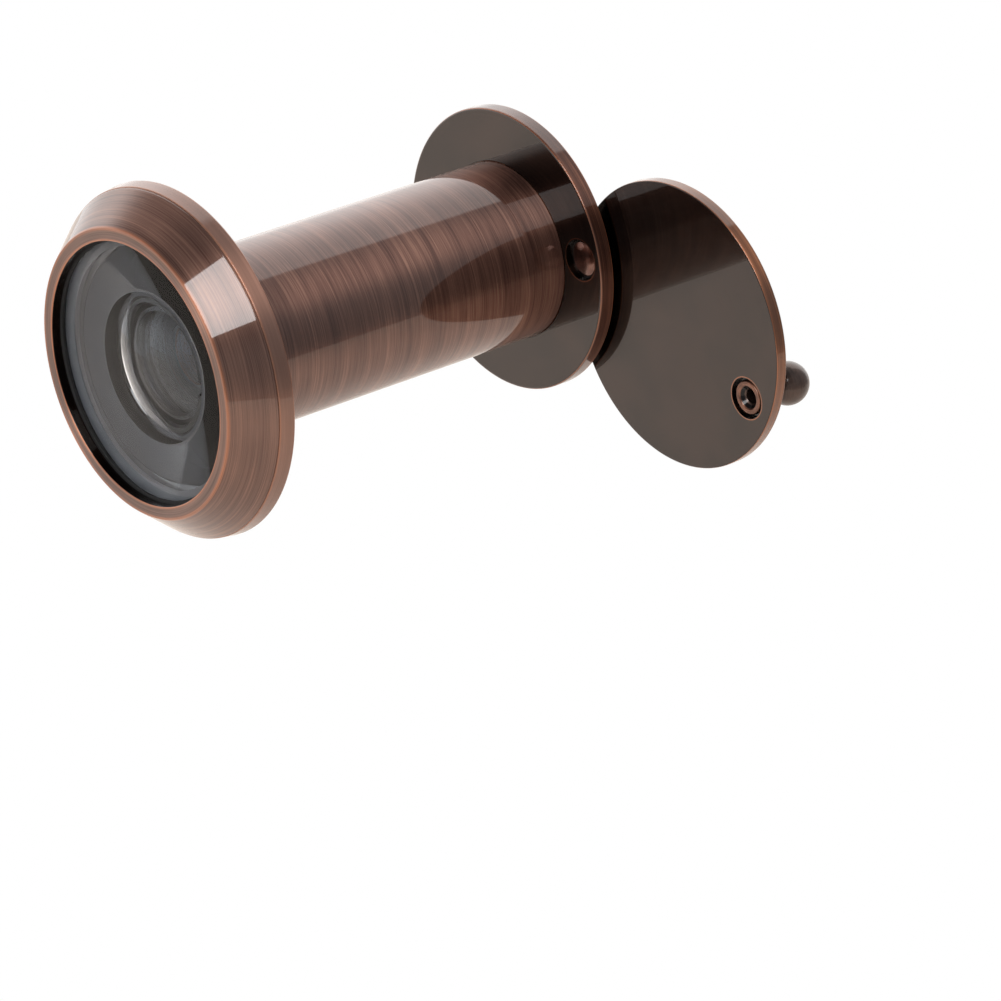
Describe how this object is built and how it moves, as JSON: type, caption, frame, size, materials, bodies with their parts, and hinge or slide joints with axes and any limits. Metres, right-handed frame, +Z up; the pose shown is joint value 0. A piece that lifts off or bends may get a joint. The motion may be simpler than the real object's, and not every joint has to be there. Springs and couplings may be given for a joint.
{
  "type": "door viewer",
  "caption": "Wide-angle door viewer: glazed bezel on a smooth barrel, screw-in eyepiece tube with a flange, and a cover disc that swings on a rivet by a ball knob.",
  "frame": {"origin": "on the optical axis, in the plane of the bezel's door seat", "axes": "+Y along the barrel from the outside of the door to the room, +Z up, +X towards the open cover"},
  "size_m": [0.0424, 0.0432, 0.0272],
  "materials": {
    "aged_copper": "turned, darkened and brushed through to copper on the edges",
    "knob_bronze": "dark polished",
    "spring_steel": "plain",
    "black_rubber": "matte",
    "black_plastic": "matte",
    "lens_glass": "polished optical glass"
  },
  "bodies": {
    "outside_half": {"barrel_housing": "aged_copper", "bezel_ring": "aged_copper", "lens_front_seal": "black_rubber", "objective_lens": "lens_glass", "objective_gasket": "black_rubber", "front_lens_cell": "black_plastic", "second_lens": "lens_glass", "lens_spacer": "black_plastic", "third_lens": "lens_glass", "cell_retaining_ring": "black_plastic"},
    "eyepiece_optics": {"eyepiece_lens": "lens_glass", "eyepiece_seat_ring": "black_rubber"},
    "room_half": {"eyepiece_tube": "aged_copper", "eyepiece_retaining_clip": "spring_steel", "field_stop": "black_plastic", "pivot_rivet": "knob_bronze", "pivot_spring_washer": "spring_steel", "pivot_outer_washer": "knob_bronze"},
    "cover": {"cover_disc": "aged_copper", "ball_knob": "knob_bronze"}
  },
  "joints": [
    {"name": "tube_advance", "type": "slide", "parent": "outside_half", "child": "eyepiece_optics", "axis": [0, 1, 0], "range_m": [0, 0.023]},
    {"name": "tube_turn", "type": "hinge", "parent": "eyepiece_optics", "child": "room_half", "pos_m": [0, 0, 0], "axis": [0, 1, 0], "range_deg": [0, 8280]},
    {"name": "cover_swing", "type": "hinge", "parent": "room_half", "child": "cover", "pos_m": [0.00878, 0, 0.00198], "axis": [0, 1, 0], "range_deg": [-211, 149]}
  ],
  "couplings": [
    {"joint": "tube_advance", "follows": "tube_turn", "m_per_rad": 0.00015915}
  ]
}
